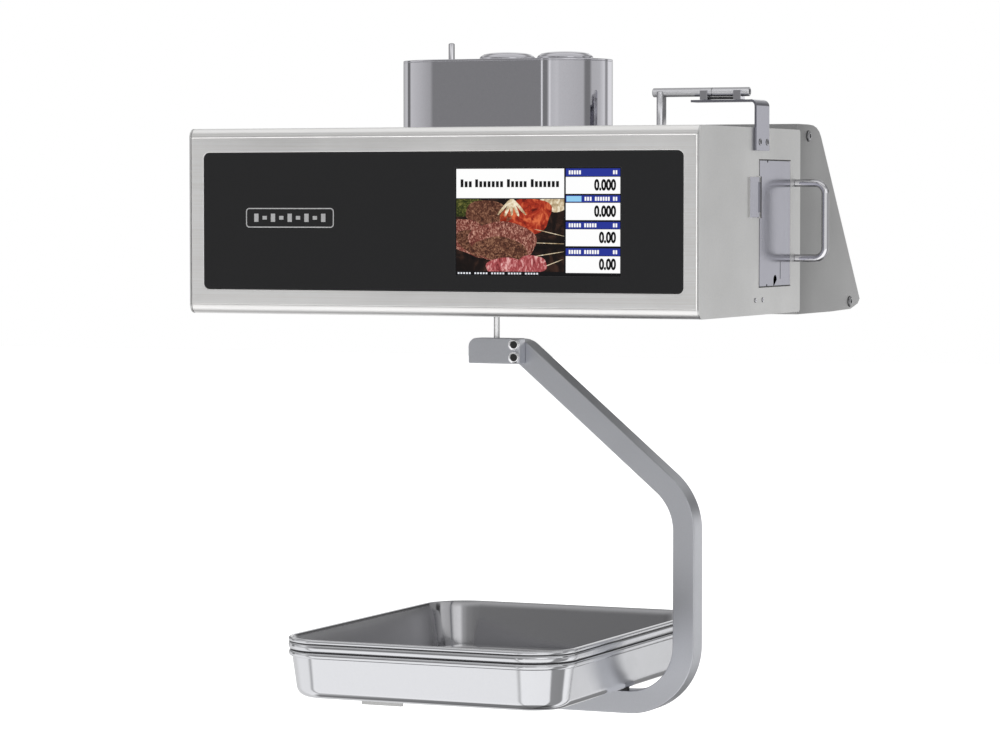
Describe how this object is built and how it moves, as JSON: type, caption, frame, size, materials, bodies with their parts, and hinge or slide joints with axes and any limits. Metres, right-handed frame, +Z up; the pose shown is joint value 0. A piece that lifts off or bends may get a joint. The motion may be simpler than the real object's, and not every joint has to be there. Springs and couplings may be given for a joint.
{
  "type": "hanging retail price scale",
  "caption": "Hanging price scale: steel display housing under a ceiling hanger, rear operator console, label printer behind a side door, and weigh pans on a cranked arm.",
  "frame": {"origin": "top of the pole boss on the hanger, where the ceiling pole meets it", "axes": "+Z up, -Y towards the customer, +Y towards the operator, +X to the customer's right, where the printer door and the grab handle are"},
  "size_m": [0.5138, 0.4895, 0.5955],
  "materials": {
    "satin_steel": "satin",
    "brushed_steel": "brushed",
    "polished_steel": "polished",
    "polished_door": "polished",
    "anodised": "satin",
    "cast_aluminium": "matt",
    "black_glass": "gloss",
    "screen": "gloss",
    "black_plastic": "matt",
    "black_steel": "satin",
    "rubber": "matt",
    "circuit_board": "satin",
    "paper": "matt",
    "card": "matt"
  },
  "bodies": {
    "housing": {"cable_conduit": "cast_aluminium", "cable_gland": "black_plastic", "conduit_boss": "polished_steel", "console_screw_left_bottom": "polished_steel", "console_screw_left_top": "polished_steel", "console_screw_right_bottom": "polished_steel", "console_screw_right_top": "polished_steel", "console_shell": "satin_steel", "customer_display": "screen", "front_bezel": "brushed_steel", "front_glass": "black_glass", "grab_handle": "polished_steel", "handle_nut_lower": "black_steel", "handle_nut_upper": "black_steel", "hanger_cover": "polished_steel", "hanger_pin": "polished_steel", "hanger_top_plate": "polished_steel", "hinge_pin": "polished_steel", "hinge_plate": "polished_door", "housing_shell": "satin_steel", "inner_chassis": "satin_steel", "load_cell": "cast_aluminium", "load_cell_bracket": "cast_aluminium", "main_board": "circuit_board", "operator_display": "screen", "pole_boss": "polished_steel", "power_supply": "satin_steel", "print_head": "black_plastic", "printer_frame": "satin_steel", "rail_clip_left": "polished_steel", "rail_clip_right": "polished_steel", "rod_seal": "rubber", "roll_spindle": "black_plastic", "side_screw_front": "polished_steel", "side_screw_rear": "polished_steel", "sign_bracket": "polished_door", "sign_post": "polished_steel", "sign_rail": "polished_steel", "stem_nut": "black_steel", "strap_screw_front": "polished_steel", "strap_screw_rear": "polished_steel", "suspension_stem": "cast_aluminium", "touch_glass": "black_glass"},
    "printer_door": {"printer_door": "polished_door"},
    "label_roll": {"label_roll": "paper", "label_core": "card"},
    "platen": {"platen_roller": "rubber", "platen_shaft": "polished_steel"},
    "power_button": {"power_button": "black_plastic"},
    "load_hanger": {"load_rod": "polished_steel", "load_nut": "polished_steel"},
    "arm": {"clamp_block": "anodised", "clamp_screw_upper": "polished_steel", "clamp_screw_lower": "polished_steel", "pan_arm": "anodised", "pan_support": "satin_steel", "support_screw_left": "black_steel", "support_screw_right": "black_steel", "outer_pan": "polished_steel"},
    "weigh_pan": {"inner_pan": "polished_steel"}
  },
  "joints": [
    {"name": "door_hinge", "type": "hinge", "parent": "housing", "child": "printer_door", "pos_m": [0.24025, -0.0063, -0.1295], "axis": [0, 0, -1], "range_deg": [0, 110]},
    {"name": "label_roll_spin", "type": "hinge", "parent": "housing", "child": "label_roll", "pos_m": [0.192, 0.034, -0.144], "axis": [1, 0, 0], "continuous": true},
    {"name": "platen_spin", "type": "hinge", "parent": "housing", "child": "platen", "pos_m": [0.192, 0.083, -0.188], "axis": [1, 0, 0], "continuous": true},
    {"name": "power_button_press", "type": "slide", "parent": "housing", "child": "power_button", "axis": [0, 0.7971, 0.6038], "range_m": [-0.0015, 0]},
    {"name": "load_deflection", "type": "slide", "parent": "housing", "child": "load_hanger", "axis": [0, 0, -1], "range_m": [0, 0.001]},
    {"name": "arm_swivel", "type": "hinge", "parent": "load_hanger", "child": "arm", "pos_m": [0, -0.024, -0.266], "axis": [0, 0, 1], "continuous": true},
    {"name": "pan_lift_off", "type": "slide", "parent": "arm", "child": "weigh_pan", "axis": [0, 0, 1], "range_m": [0, 0.06]}
  ]
}
